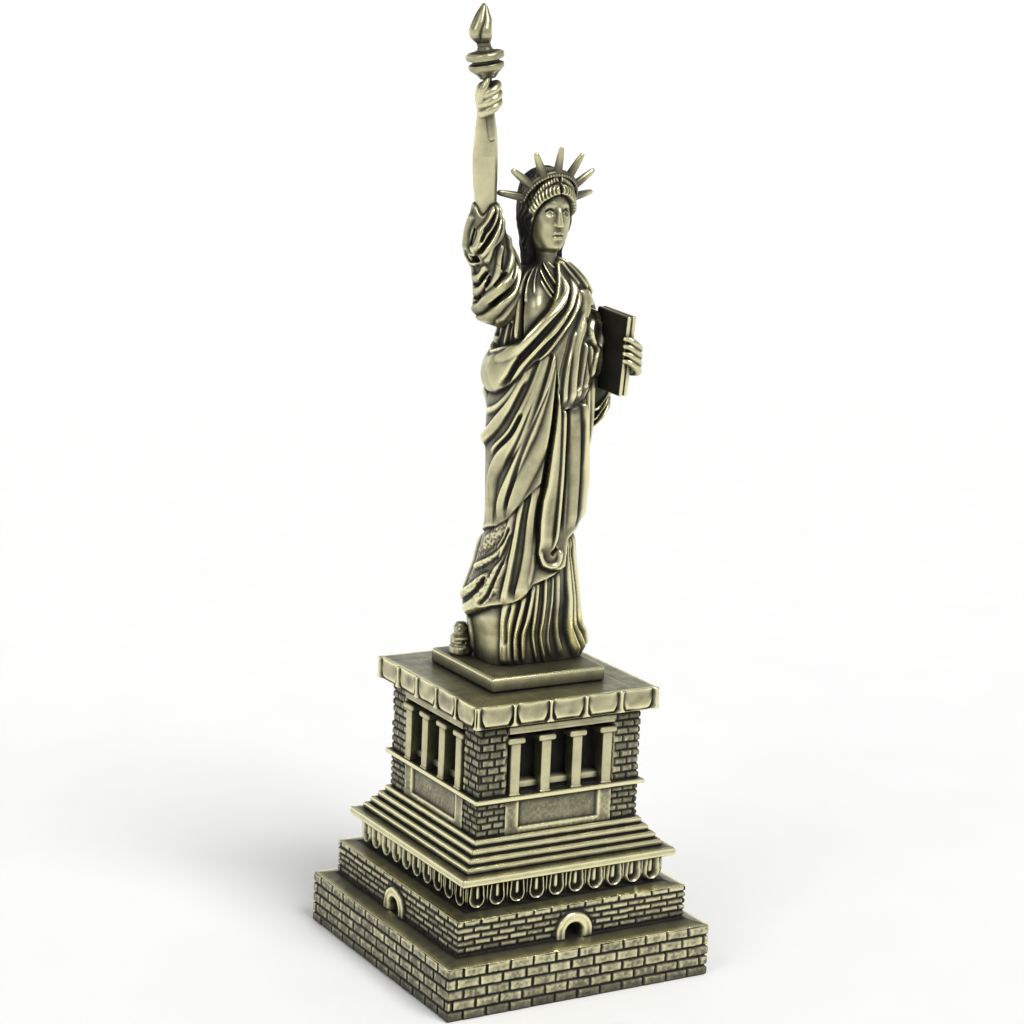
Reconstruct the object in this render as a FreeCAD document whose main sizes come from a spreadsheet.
"""Miniature landmark model: a robed figure with a raised torch on a stepped brick pedestal.

Millimetres, +Z up. The origin is the centre of the pedestal's underside and the figure faces -Y.
The pedestal is four cast faces, in two stages, joined at mitred corners round a hollow. The figure is
two hollow shells with the head, the crown, the raised arm, the torch, the left hand and the tablet
fitted to them.
"""
import FreeCAD, Part
import math
import os
import re

import Sketcher
from FreeCAD import Placement, Rotation, Vector

DIMENSIONS = {
    # lower stage: half-widths and levels, from the ground up
    "base_half": 33.1,
    "base_top": 12.0,
    "tread_rise": 0.8,
    "middle_half": 29.0,
    "middle_top": 20.5,
    "frieze_half": 25.4,
    "frieze_foot": 21.1,
    "slab_half": 27.1,
    "slab_foot": 27.1,
    "slab_top": 29.0,
    "step_half": 24.9,
    "step_run": 1.2,
    "step_rise": 1.57,
    "cast_wall": 2.4,
    # doorway in the middle tier
    "door_outer": 4.75,
    "door_inner": 2.05,
    "door_spring": 14.05,
    "door_proud": 0.7,
    "door_deep": 4.5,
    # upper stage
    "upper_half": 20.4,
    "string_half": 21.45,
    "string_foot": 43.1,
    "string_top": 44.15,
    "window_half": 13.5,
    "window_top": 57.9,
    "niche_back": 16.2,
    "niche_wall": 1.0,
    "sill_top": 46.5,
    "sill_back": 18.9,
    "panel_half": 10.2,
    "panel_foot": 36.7,
    "panel_sink": 0.5,
    "panel_lip": 0.2,
    "pilaster_half": 13.6,
    "column_wide": 2.4,
    "column_pitch": 7.8,
    "column_face": 20.9,
    "column_back": 18.4,
    "capital_wide": 4.5,
    "capital_foot": 55.8,
    "capital_top": 57.3,
    "capital_proud": 0.4,
    "column_root": 1.0,
    "architrave_half": 13.5,
    "architrave_foot": 58.0,
    "architrave_top": 59.6,
    "architrave_face": 21.1,
    "lip_half": 21.4,
    "cornice_half": 22.8,
    "cornice_foot": 59.6,
    "cornice_bar": 23.3,
    "bar_wide": 0.9,
    "bar_lift": 1.0,
    "bar_pitch": 8.95,
    "deck_top": 65.6,
    "deck_thick": 1.8,
    "deck_half": 17.7,
    "ledge_wide": 2.2,
    # underside
    "felt_thick": 0.8,
    "cover_thick": 1.6,
    "cover_half": 30.1,
    # figure's plinth and the screw through it
    "plinth_half": 14.35,
    "plinth_top": 68.95,
    "plinth_round": 0.6,
    "screw_radius": 1.5,
    "screw_head": 2.9,
    "screw_tip": 76.5,
    "fit_gap": 0.05,
    "washer_radius": 4.5,
    "washer_thick": 0.8,
    # head, neck and crown
    "head_x": 1.7,
    "head_y": -1.0,
    "head_z": 169.1,
    "head_wide": 5.3,
    "head_deep": 6.3,
    "head_tall": 8.7,
    "neck_y": -2.2,
    "neck_radius": 2.6,
    "neck_foot": 152.5,
    "crown_y": -2.4,
    "crown_z": 171.8,
    "crown_radius": 6.2,
    "crown_tube": 0.8,
    "crown_tilt": 122.0,
    "ray_sweep": 18.0,
    "ray_radius": 0.85,
    "ray_end": 0.65,
    "ray_start": 5.9,
    "ray_length": 5.7,
    # raised arm and torch
    "arm_x": -13.1,
    "arm_y": -1.5,
    "arm_foot": 157.5,
    "arm_elbow": 171.5,
    "arm_middle": 179.5,
    "arm_wrist": 190.1,
    "elbow_radius": 2.4,
    "forearm_radius": 2.75,
    "wrist_radius": 1.95,
    "hand_rise": 2.9,
    "hand_radius": 2.9,
    "hand_deep": 2.6,
    "palm_shift": 0.6,
    "hand_tall": 3.5,
    "torch_x": -14.1,
    "torch_y": -3.3,
    "torch_foot": 183.8,
    "torch_lean": 7.0,
    "handle_radius": 0.8,
    "handle_top": 0.96,
    "handle_length": 13.2,
    "gallery_length": 5.6,
    "gallery_lower": 3.75,
    "gallery_upper": 4.1,
    "gallery_groove": 2.9,
    "gallery_foot": 1.85,
    "ring_tall": 2.0,
    "groove_tall": 0.5,
    "cup_lift": 0.5,
    "flame_radius": 2.6,
    "flame_neck": 1.7,
    "flame_foot": 1.9,
    "flame_length": 9.8,
    # tablet and left hand
    "tablet_x": 16.2,
    "tablet_y": -8.9,
    "tablet_z": 138.8,
    "tablet_thick": 1.9,
    "tablet_wide": 10.9,
    "tablet_tall": 17.8,
    "tablet_turn": 7.0,
    "tablet_lean": 4.0,
    "forearm_y": 2.0,
    "forearm_thick": 2.3,
    "forearm_length": 15.0,
    "fist_deep": 4.2,
    "fist_wide": 4.6,
    "fist_tall": 8.6,
    "fist_shift": 0.6,
    "fist_round": 1.2,
    "tablet_round": 0.35,
    # raised heel
    "foot_x": -10.3,
    "foot_y": 9.4,
    "foot_radius": 2.4,
    "foot_tall": 4.6,
    "ankle_radius": 1.9,
}

# sections of the robe: name, level, centre x and y, half-width along x and along y
ROBE = (
    ("hem", 68.95, 3.2, 0.8, 11.8, 8.6),
    ("shin", 80.5, 1.0, 1.6, 13.0, 10.6),
    ("calf", 91.5, 1.6, 0.2, 11.8, 9.8),
    ("knee", 102.5, 2.0, -1.0, 10.9, 9.3),
    ("thigh", 117.5, 2.0, -1.0, 11.3, 9.6),
    ("hip", 132.5, 1.7, -1.0, 11.6, 9.6),
    ("waist", 143.5, 1.8, -1.2, 10.8, 8.4),
    ("chest", 151.0, 1.8, -1.3, 9.6, 6.8),
    ("shoulder", 157.0, 2.0, -1.8, 5.2, 4.4),
)
# sections of the bunched sleeve round the raised arm, in the same order
SLEEVE = (
    ("underarm", 141.5, -6.5, -1.2, 3.4, 4.4),
    ("armpit", 149.5, -8.2, -1.2, 6.0, 5.4),
    ("cuff", 159.5, -12.0, -1.4, 6.3, 5.2),
    ("sleeve_end", 170.0, -12.9, -1.5, 3.4, 3.4),
)
# sections of the left upper arm and the sleeve that hangs below it
LEFT_SLEEVE = (
    ("left_tail", 122.0, 14.2, -1.0, 2.0, 3.0),
    ("left_elbow", 132.5, 13.4, -0.2, 3.4, 5.2),
    ("left_arm", 142.5, 11.6, -0.4, 3.6, 4.6),
    ("left_shoulder", 152.5, 7.6, -1.2, 3.8, 4.0),
)
# the figure's cavity uses the robe's own sections, shrunk, between these two
CAVITY_FIRST, CAVITY_LAST = "calf", "waist"
CAVITY_SCALE = 0.72

FACES = {"front": 0, "right": 90, "back": 180, "left": 270}
COLUMN_PLACES = (-1.5, -0.5, 0.5, 1.5)
BAR_PLACES = (-2.5, -1.5, -0.5, 0.5, 1.5, 2.5)
RAY_COUNT = 7
STEP_COUNT = 4
MITRE_REACH = 40
BLOCK_EDGES = 12
# the flame's outline: share of its radius against share of its length
FLAME = ((1.0, 0.42), (0.8, 0.62), (0.35, 0.85))

doc = FreeCAD.newDocument("miniature_landmark")
sheet = doc.addObject("Spreadsheet::Sheet", "dims")
pieces = []


# ---------------------------------------------------------------- driving dimensions

def fill_sheet():
    """One row for each dimension: its name in column A and its value, with an alias, in column B."""
    rows = dict(DIMENSIONS)
    for name, level, x, y, wide, deep in ROBE + SLEEVE + LEFT_SLEEVE:
        for part, number in zip(("level", "x", "y", "wide", "deep"), (level, x, y, wide, deep)):
            rows[f"{name}_{part}"] = number
    for row, (alias, number) in enumerate(rows.items(), start=1):
        sheet.set(f"A{row}", alias)
        sheet.set(f"B{row}", str(number))
        sheet.setAlias(f"B{row}", alias)
    doc.recompute()


def cells(text):
    """An expression in plain names turned into one that reads the sheet."""
    return re.sub(r"[a-z]\w*", r"dims.\g<0>", str(text))


def value(text):
    """The number that such an expression has now."""
    return float(doc.dims.evalExpression(cells(text)))


def bind(item, **expressions):
    """Ties properties of an object to the sheet, such as Radius="screw_radius"."""
    for path, text in expressions.items():
        item.setExpression(path, cells(text))
    return item


# ---------------------------------------------------------------- sketches and bodies

def make_body(name):
    body = doc.addObject("PartDesign::Body", name)
    body.Label = name
    pieces.append(body)
    return body


def sketch_on(body, role, lift=None):
    """A sketch on one of the body's own origin planes, moved along the plane's normal by lift."""
    plane = next(item for item in body.Origin.OriginFeatures if item.Role == role)
    sketch = body.newObject("Sketcher::SketchObject", f"{body.Name}_sketch")
    sketch.AttachmentSupport = [(plane, "")]
    sketch.MapMode = "FlatFace"
    if lift is not None:
        sketch.setExpression("AttachmentOffset.Base.z", cells(lift))
    return sketch


def fix_point(sketch, element, vertex, across, up):
    """Holds a point at a distance from the sketch's origin, each way."""
    for kind, axis, text in (("DistanceX", -2, across), ("DistanceY", -1, up)):
        if value(text) == 0:
            sketch.addConstraint(Sketcher.Constraint("PointOnObject", element, vertex, axis))
            continue
        index = sketch.addConstraint(Sketcher.Constraint(kind, -1, 1, element, vertex, value(text)))
        sketch.setExpression(f"Constraints[{index}]", cells(text))


def polygon(sketch, corners):
    """A closed outline with straight sides; each corner is a pair of expressions."""
    points = [Vector(value(across), value(up), 0) for across, up in corners]
    first = sketch.GeometryCount
    for index, point in enumerate(points):
        sketch.addGeometry(Part.LineSegment(point, points[(index + 1) % len(points)]))
    for index, (across, up) in enumerate(corners):
        after = first + (index + 1) % len(corners)
        sketch.addConstraint(Sketcher.Constraint("Coincident", first + index, 2, after, 1))
        fix_point(sketch, first + index, 1, across, up)
    return sketch


def rectangle(sketch, low_x, high_x, low_y, high_y):
    return polygon(sketch, ((low_x, low_y), (high_x, low_y), (high_x, high_y), (low_x, high_y)))


def arch(sketch, half, spring, foot):
    """A doorway outline: two jambs, a round head and a straight foot."""
    radius, height, low = value(half), value(spring), value(foot)
    sketch.addGeometry(Part.LineSegment(Vector(-radius, low, 0), Vector(radius, low, 0)))
    sketch.addGeometry(Part.LineSegment(Vector(radius, low, 0), Vector(radius, height, 0)))
    circle = Part.Circle(Vector(0, height, 0), Vector(0, 0, 1), radius)
    sketch.addGeometry(Part.ArcOfCircle(circle, 0, math.pi))
    sketch.addGeometry(Part.LineSegment(Vector(-radius, height, 0), Vector(-radius, low, 0)))
    sketch.addConstraint(Sketcher.Constraint("Coincident", 0, 2, 1, 1))
    sketch.addConstraint(Sketcher.Constraint("Coincident", 1, 2, 2, 1))
    sketch.addConstraint(Sketcher.Constraint("Coincident", 2, 2, 3, 1))
    sketch.addConstraint(Sketcher.Constraint("Coincident", 3, 2, 0, 1))
    fix_point(sketch, 0, 1, f"-{half}", foot)
    fix_point(sketch, 0, 2, half, foot)
    fix_point(sketch, 1, 2, half, spring)
    fix_point(sketch, 2, 3, "0", spring)
    level = sketch.addConstraint(Sketcher.Constraint("DistanceY", -1, 1, 3, 1, height))
    sketch.setExpression(f"Constraints[{level}]", cells(spring))
    return sketch


def circle(sketch, radius):
    index = sketch.addGeometry(Part.Circle(Vector(0, 0, 0), Vector(0, 0, 1), value(radius)))
    sketch.addConstraint(Sketcher.Constraint("Coincident", index, 3, -1, 1))
    held = sketch.addConstraint(Sketcher.Constraint("Radius", index, value(radius)))
    sketch.setExpression(f"Constraints[{held}]", cells(radius))
    return sketch


def pad(body, sketch, length, both_ways=False, reverse=False):
    feature = body.newObject("PartDesign::Pad", f"{body.Name}_pad")
    feature.Profile = sketch
    feature.SideType = "Symmetric" if both_ways else "One side"
    feature.Reversed = reverse
    return bind(feature, Length=length)


def pocket(body, sketch, length=None, both_ways=False, reverse=False):
    """A cut to a depth, or right through both ways where no length is given."""
    feature = body.newObject("PartDesign::Pocket", f"{body.Name}_pocket")
    feature.Profile = sketch
    feature.SideType = "Symmetric" if both_ways else "One side"
    feature.Reversed = reverse
    if length is None:
        feature.Type = "ThroughAll"
        return feature
    return bind(feature, Length=length)


def mitre(body):
    """Cuts both ends of a wall panel back to the planes x = y and x = -y."""
    for side in ("", "-"):
        sketch = sketch_on(body, "XY_Plane")
        far = f"{side}{MITRE_REACH}"
        polygon(sketch, (("0", "0"), (far, f"-{MITRE_REACH}"), (far, "0")))
        pocket(body, sketch, both_ways=True)


def turn(body, angle):
    """Stands a front panel on another face of the pedestal."""
    body.Placement = Placement(Vector(0, 0, 0), Rotation(Vector(0, 0, 1), angle))


# ---------------------------------------------------------------- pedestal

def lower_panel(face, angle):
    """One face of the lower stage: brick tier, arched tier, frieze, slab and steps, mitred at both ends."""
    body = make_body(f"{face}_lower_panel")
    outside = [
        ("-base_half", "0"), ("-base_half", "base_top"),
        ("-middle_half", "base_top + tread_rise"), ("-middle_half", "middle_top"),
        ("-frieze_half", "frieze_foot"), ("-frieze_half", "slab_foot"),
        ("-slab_half", "slab_foot"), ("-slab_half", "slab_top"),
    ]
    for step in range(STEP_COUNT):
        nose = f"-(step_half - step_run * {step})"
        outside += [(nose, f"slab_top + step_rise * {step}"), (nose, f"slab_top + step_rise * {step + 1}")]
    top = f"slab_top + step_rise * {STEP_COUNT}"
    inside = [
        ("-(upper_half - cast_wall)", top),
        ("-(upper_half - cast_wall)", "slab_top"), ("-(frieze_half - cast_wall)", "slab_foot - cast_wall"),
        ("-(frieze_half - cast_wall)", "frieze_foot - cast_wall"),
        ("-(middle_half - cast_wall)", "middle_top - cast_wall"),
        ("-(middle_half - cast_wall)", "base_top - cast_wall"),
        ("-cover_half", "base_top - cast_wall"), ("-cover_half", "0"),
    ]
    pad(body, polygon(sketch_on(body, "YZ_Plane"), outside + inside), "2 * base_half", both_ways=True)
    mitre(body)
    door_foot = "base_top + tread_rise / 2"
    surround = arch(sketch_on(body, "XZ_Plane", "middle_half - cast_wall / 2"),
                    "door_outer", "door_spring", door_foot)
    pad(body, surround, "cast_wall / 2 + door_proud")
    door_wall = rectangle(sketch_on(body, "XZ_Plane", "middle_half - door_deep - niche_wall"),
                          "-(door_inner + niche_wall)", "door_inner + niche_wall",
                          "base_top - niche_wall", "door_spring + door_inner + niche_wall")
    pad(body, door_wall, "door_deep")
    opening = arch(sketch_on(body, "XZ_Plane", "middle_half + cast_wall"), "door_inner", "door_spring",
                   "base_top + tread_rise")
    pocket(body, opening, "cast_wall + door_deep")
    turn(body, angle)


def upper_panel(face, angle):
    """One face of the upper stage: piers, string course, sunk panel, colonnade and cornice."""
    body = make_body(f"{face}_upper_panel")
    foot = f"slab_top + step_rise * {STEP_COUNT}"
    inner = "-(upper_half - cast_wall)"
    profile = (
        ("-upper_half", foot), ("-upper_half", "string_foot"), ("-string_half", "string_foot"),
        ("-string_half", "string_top"), ("-upper_half", "string_top"), ("-upper_half", "cornice_foot"),
        ("-lip_half", "cornice_foot"), ("-cornice_half", "cornice_foot + lip_half - upper_half"),
        ("-cornice_half", "deck_top"), ("-deck_half", "deck_top"),
        ("-deck_half", "deck_top - deck_thick"), ("-(deck_half - ledge_wide)", "deck_top - deck_thick"),
        ("-(deck_half - ledge_wide)", "deck_top - deck_thick * 2"), (inner, "window_top + ledge_wide"),
        (inner, foot),
    )
    pad(body, polygon(sketch_on(body, "YZ_Plane"), profile), "2 * cornice_bar", both_ways=True)
    mitre(body)
    niche = rectangle(sketch_on(body, "XZ_Plane", "niche_back - niche_wall"),
                      "-(window_half + niche_wall)", "window_half + niche_wall",
                      "string_foot", "window_top + niche_wall")
    pad(body, niche, "upper_half - cast_wall / 2 - niche_back + niche_wall")
    window = rectangle(sketch_on(body, "XZ_Plane", "string_half + cast_wall"),
                       "-window_half", "window_half", "string_top", "window_top")
    pocket(body, window, "string_half + cast_wall - niche_back")
    sill = rectangle(sketch_on(body, "XZ_Plane", "niche_back"),
                     "-window_half", "window_half", "string_foot", "sill_top")
    pad(body, sill, "sill_back - niche_back")
    for place in COLUMN_PLACES:
        for wide, low, high, face_at in (
            ("column_wide", "string_foot", "window_top + column_root", "column_face"),
            ("capital_wide", "capital_foot", "capital_top", "column_face + capital_proud"),
        ):
            centre = f"column_pitch * {place}"
            shaft = rectangle(sketch_on(body, "XZ_Plane", "column_back"),
                              f"{centre} - {wide} / 2", f"{centre} + {wide} / 2", low, high)
            pad(body, shaft, f"{face_at} - column_back")
    architrave = rectangle(sketch_on(body, "XZ_Plane", "upper_half - cast_wall / 2"),
                           "-architrave_half", "architrave_half", "architrave_foot", "architrave_top")
    pad(body, architrave, "architrave_face - upper_half + cast_wall / 2")
    sunk = rectangle(sketch_on(body, "XZ_Plane", "upper_half + cast_wall"),
                     "-panel_half", "panel_half", "panel_foot", "string_foot - panel_lip")
    pocket(body, sunk, "cast_wall + panel_sink")
    for place in BAR_PLACES:
        bar = rectangle(sketch_on(body, "XZ_Plane", "cornice_half - cast_wall / 2"),
                        f"bar_pitch * {place} - bar_wide / 2", f"bar_pitch * {place} + bar_wide / 2",
                        "cornice_foot + bar_lift", "deck_top")
        pad(body, bar, "cornice_bar - cornice_half + cast_wall / 2")
    turn(body, angle)


def square_plate(name, half, thick, level, hole=None):
    """A flat square piece with its underside at a level, and a round hole where one is named."""
    body = make_body(name)
    outline = rectangle(sketch_on(body, "XY_Plane", level), f"-{half}", half, f"-{half}", half)
    pad(body, outline, thick)
    if hole:
        pocket(body, circle(sketch_on(body, "XY_Plane", level), hole), both_ways=True)
    return body


def round_top_edge(body, level, radius):
    """Rounds the edges of the face at a level."""
    doc.recompute()
    base = body.Tip
    names = [
        f"Edge{index}" for index, edge in enumerate(base.Shape.Edges, start=1)
        if all(abs(vertex.Z - value(level)) < 1e-6 for vertex in edge.Vertexes) and len(edge.Vertexes) == 2
    ]
    fillet = body.newObject("PartDesign::Fillet", f"{body.Name}_fillet")
    fillet.Base = (base, names)
    bind(fillet, Radius=radius)


def build_pedestal():
    for face, angle in FACES.items():
        lower_panel(face, angle)
        upper_panel(face, angle)
    square_plate("deck_plate", "(deck_half - fit_gap)", "deck_thick", "deck_top - deck_thick",
                 "screw_radius + fit_gap")
    square_plate("base_felt", "(cover_half - fit_gap)", "felt_thick", "0")
    square_plate("base_cover", "(cover_half - fit_gap)", "cover_thick", "felt_thick")
    plinth = square_plate("figure_plinth", "plinth_half", "plinth_top - deck_top", "deck_top",
                          "screw_radius + fit_gap")
    round_top_edge(plinth, "plinth_top", "plinth_round")


# ---------------------------------------------------------------- primitives and booleans

def finish(item, name):
    """Gives the last object of a piece its own name."""
    item.Label = name
    pieces.append(item)
    return item


def move(item, x, y, z):
    return bind(item, **{"Placement.Base.x": x, "Placement.Base.y": y, "Placement.Base.z": z})


def primitive(kind, x="0", y="0", z="0", **sizes):
    return move(bind(doc.addObject(f"Part::{kind}", kind.lower()), **sizes), x, y, z)


def boolean(kind, base, tool):
    item = doc.addObject(f"Part::{kind}", kind.lower())
    item.Base, item.Tool = base, tool
    return item


def cut_all(base, tools):
    """Takes one tool after another away from a base."""
    for tool in tools:
        base = boolean("Cut", base, tool)
    return base


def fuse(*items):
    item = doc.addObject("Part::MultiFuse", "fused")
    item.Shapes = list(items)
    return item


def ellipse(name, scale=1.0):
    """One horizontal section, wider along x or along y as the sheet says."""
    item = doc.addObject("Part::Ellipse", f"{name}_section")
    across = value(f"{name}_wide") >= value(f"{name}_deep")
    major, minor = ("wide", "deep") if across else ("deep", "wide")
    bind(item, MajorRadius=f"{name}_{major} * {scale}", MinorRadius=f"{name}_{minor} * {scale}")
    item.Placement.Rotation = Rotation(Vector(0, 0, 1), 0 if across else 90)
    return move(item, f"{name}_x", f"{name}_y", f"{name}_level")


def loft(sections, scale=1.0):
    item = doc.addObject("Part::Loft", "loft")
    item.Sections = [ellipse(section[0], scale) for section in sections]
    item.Solid = True
    return item


# ---------------------------------------------------------------- figure

def build_screw():
    shank = primitive("Cylinder", z="deck_top - deck_thick - washer_thick", Radius="screw_radius",
                      Height="screw_tip - deck_top + deck_thick + washer_thick")
    head = primitive("Cylinder", z="deck_top - deck_thick - washer_thick * 3", Radius="screw_head",
                     Height="washer_thick * 2")
    finish(fuse(shank, head), "figure_screw")
    ring = primitive("Cylinder", z="deck_top - deck_thick - washer_thick",
                     Radius="washer_radius", Height="washer_thick")
    hole = primitive("Cylinder", z="deck_top - deck_thick - washer_thick * 2",
                     Radius="screw_radius + fit_gap", Height="washer_thick * 3")
    finish(boolean("Cut", ring, hole), "screw_washer")


def lathe(name, outline):
    """A piece turned about its own Z axis; the outline runs from the axis out and back to it."""
    body = make_body(name)
    sketch = polygon(sketch_on(body, "XZ_Plane"), outline)
    feature = body.newObject("PartDesign::Revolution", f"{name}_turning")
    feature.Profile = sketch
    feature.ReferenceAxis = (sketch, ["V_Axis"])
    feature.Angle = 360
    return body


def along_torch(distance):
    """The placement of a torch piece, a distance up the leaning handle."""
    lean = Rotation(Vector(0, 1, 0), -value("torch_lean"))
    foot = Vector(value("torch_x"), value("torch_y"), value("torch_foot"))
    return Placement(foot + lean.multVec(Vector(0, 0, value(distance))), lean)


def build_torch():
    handle = lathe("torch_handle", (
        ("0", "0"), ("handle_radius", "0"), ("handle_top", "handle_length"), ("0", "handle_length")))
    handle.Placement = along_torch("0")
    gallery = lathe("torch_gallery", (
        ("0", "0"), ("gallery_foot", "0"),
        ("gallery_lower", "gallery_length - 2 * ring_tall - groove_tall + cup_lift"),
        ("gallery_lower", "gallery_length - ring_tall - groove_tall"),
        ("gallery_groove", "gallery_length - ring_tall - groove_tall"),
        ("gallery_groove", "gallery_length - ring_tall"),
        ("gallery_upper", "gallery_length - ring_tall"), ("gallery_upper", "gallery_length"),
        ("0", "gallery_length")))
    gallery.Placement = along_torch("handle_length")
    swell = [(f"flame_radius * {wide}", f"flame_length * {high}") for wide, high in FLAME]
    flame = lathe("torch_flame", (
        ("0", "0"), ("flame_neck", "0"), ("flame_neck", "flame_foot"), *swell, ("0", "flame_length")))
    flame.Placement = along_torch("handle_length + gallery_length")


def torch_bore():
    """The handle's own space, with a running gap, to cut out of the hand."""
    bore = primitive("Cylinder", Radius="handle_top + fit_gap", Height="handle_length")
    bore.Placement = along_torch("0")
    return bore


def build_raised_arm():
    """Bare forearm, hand round the torch handle, and a plug that goes down into the sleeve."""
    plug = primitive("Cylinder", "arm_x", "arm_y", "arm_foot", Radius="wrist_radius",
                     Height="arm_elbow - arm_foot")
    lower = primitive("Cone", "arm_x", "arm_y", "arm_elbow", Radius1="elbow_radius", Radius2="forearm_radius",
                      Height="arm_middle - arm_elbow")
    upper = primitive("Cone", "arm_x", "arm_y", "arm_middle", Radius1="forearm_radius",
                      Radius2="wrist_radius", Height="arm_wrist - arm_middle")
    hand = primitive("Ellipsoid", "torch_x - palm_shift", "torch_y", "arm_wrist + hand_rise",
                     Radius1="hand_tall", Radius2="hand_radius", Radius3="hand_deep")
    limb = fuse(plug, lower, upper, hand)
    finish(boolean("Cut", limb, torch_bore()), "raised_arm")
    return plug


def crown_ring(tube):
    """The crown's band as a half ring that leans forward over the hair."""
    ring = bind(doc.addObject("Part::Torus", "crown"), Radius1="crown_radius", Radius2=tube)
    ring.Angle3 = 180
    centre = Vector(value("head_x"), value("crown_y"), value("crown_z"))
    ring.Placement = Placement(centre, Rotation(Vector(1, 0, 0), value("crown_tilt")))
    return ring


def crown_ray(angle):
    """One round-ended rod that stands out of the band and sweeps back a little."""
    rod = primitive("Cone", Radius1="ray_radius", Radius2="ray_end", Height="ray_length")
    end = primitive("Sphere", z="ray_length", Radius="ray_end")
    ray = fuse(rod, end)
    lean = Rotation(Vector(1, 0, 0), value("crown_tilt"))
    sweep = math.radians(value("ray_sweep"))
    outward = Rotation(Vector(0, 0, 1), angle).multVec(Vector(1, 0, 0))
    swept = lean.multVec(outward * math.cos(sweep) - Vector(0, 0, math.sin(sweep)))
    centre = Vector(value("head_x"), value("crown_y"), value("crown_z"))
    start = centre + lean.multVec(outward * value("ray_start"))
    ray.Placement = Placement(start, Rotation(Vector(0, 0, 1), swept))
    return ray


def build_head():
    """Head and neck, the crown's band let into the hair, and the seven rods let into the band."""
    skull = primitive("Ellipsoid", "head_x", "head_y", "head_z", Radius1="head_tall", Radius2="head_wide",
                      Radius3="head_deep")
    neck = primitive("Cylinder", "head_x", "neck_y", "neck_foot", Radius="neck_radius",
                     Height="head_z - neck_foot")
    spread = 180 / (RAY_COUNT - 1)
    rays = [crown_ray(index * spread) for index in range(RAY_COUNT)]
    band_seat = fuse(crown_ring("crown_tube"), *rays)
    finish(boolean("Cut", fuse(skull, neck), band_seat), "head")
    finish(boolean("Cut", crown_ring("crown_tube"), fuse(*rays)), "crown_band")
    for index, ray in enumerate(rays, start=1):
        finish(ray, f"crown_ray_{index}")
    return neck


def tablet_frame():
    """The tablet's place: front edge turned outward a little, top leaning out."""
    centre = Vector(value("tablet_x"), value("tablet_y"), value("tablet_z"))
    facing = Rotation(Vector(0, 0, 1), value("tablet_turn")).multiply(
        Rotation(Vector(1, 0, 0), value("tablet_lean")))
    return Placement(centre, facing)


def block(place, thick, wide, tall, offset=Vector(0, 0, 0)):
    """A box centred on a placement's origin, moved by offset in the placement's own axes."""
    box = bind(doc.addObject("Part::Box", "box"), Length=thick, Width=wide, Height=tall)
    half = Vector(value(thick), value(wide), value(tall)) * 0.5
    box.Placement = place.multiply(Placement(offset - half, Rotation()))
    return box


def round_all(fillet, radius):
    """Rounds all twelve edges of the block that a fillet is based on."""
    fillet.Edges = [(index, value(radius), value(radius)) for index in range(1, BLOCK_EDGES + 1)]


def build_tablet_and_hand():
    """The tablet, and the forearm and fist that hold its front edge."""
    place = tablet_frame()
    slab = doc.addObject("Part::Fillet", "tablet")
    slab.Base = block(place, "tablet_thick", "tablet_wide", "tablet_tall")
    round_all(slab, "tablet_round")
    finish(slab, "tablet")
    seat = block(place, *(f"{side} + 2 * fit_gap" for side in ("tablet_thick", "tablet_wide", "tablet_tall")))
    grip = Vector(value("fist_shift"), -value("tablet_wide") / 2, 0)
    fist = doc.addObject("Part::Fillet", "fist")
    fist.Base = block(place, "fist_wide", "fist_deep", "fist_tall", grip)
    round_all(fist, "fist_round")
    forearm = bind(doc.addObject("Part::Cylinder", "forearm"), Radius="forearm_thick",
                   Height="forearm_length")
    outside = value("tablet_thick") / 2 + value("forearm_thick") + value("fit_gap")
    reach = place.multVec(Vector(outside, -value("tablet_wide") / 2, 0))
    forearm.Placement = Placement(reach, place.Rotation.multiply(Rotation(Vector(1, 0, 0), -90)))
    finish(boolean("Cut", fuse(fist, forearm), seat), "left_hand")
    return seat, forearm


def build_figure():
    """Two hollow robe shells, cut clear of everything that plugs into them."""
    neck = build_head()
    plug = build_raised_arm()
    seat, forearm = build_tablet_and_hand()
    robe = loft(ROBE)
    names = [section[0] for section in ROBE]
    core = ROBE[names.index(CAVITY_FIRST):names.index(CAVITY_LAST) + 1]
    cavity = loft(core, CAVITY_SCALE)
    tapping = primitive("Cylinder", z="deck_top", Radius="screw_radius", Height="screw_tip - deck_top")
    cloth = fuse(robe, loft(SLEEVE), loft(LEFT_SLEEVE))
    hollow = cut_all(cloth, (neck, plug, seat, forearm, tapping, cavity))
    reach, tall = "base_half * 2", "deck_top * 2"
    for name, low_y in (("figure_front_shell", "-base_half * 2"), ("figure_back_shell", "0")):
        half = primitive("Box", "-base_half", low_y, "deck_top", Length=reach, Width=reach, Height=tall)
        finish(boolean("Common", hollow, half), name)
    stub = primitive("Cylinder", "foot_x", "foot_y", "plinth_top", Radius="foot_radius", Height="foot_tall")
    ankle = primitive("Sphere", "foot_x", "foot_y", "plinth_top + foot_tall", Radius="ankle_radius")
    finish(boolean("Cut", fuse(stub, ankle), robe), "trailing_foot")


# ---------------------------------------------------------------- checks and files

def check_and_export():
    doc.recompute()
    failed = [item.Label for item in doc.Objects if {"Invalid", "Error"} & set(item.State)]
    if failed:
        raise RuntimeError(f"failed objects: {failed}")
    os.makedirs("parts", exist_ok=True)
    for piece in pieces:
        shape = piece.Shape
        if shape.isNull() or not shape.isValid() or not shape.Solids:
            raise RuntimeError(f"{piece.Label} has no valid solid")
        print(f"{piece.Label:22s} solids {len(shape.Solids)}  volume {shape.Volume:9.1f} mm3")
        shape.exportStep(os.path.join("parts", f"{piece.Label}.step"))


fill_sheet()
build_pedestal()
build_screw()
build_torch()
build_figure()
check_and_export()
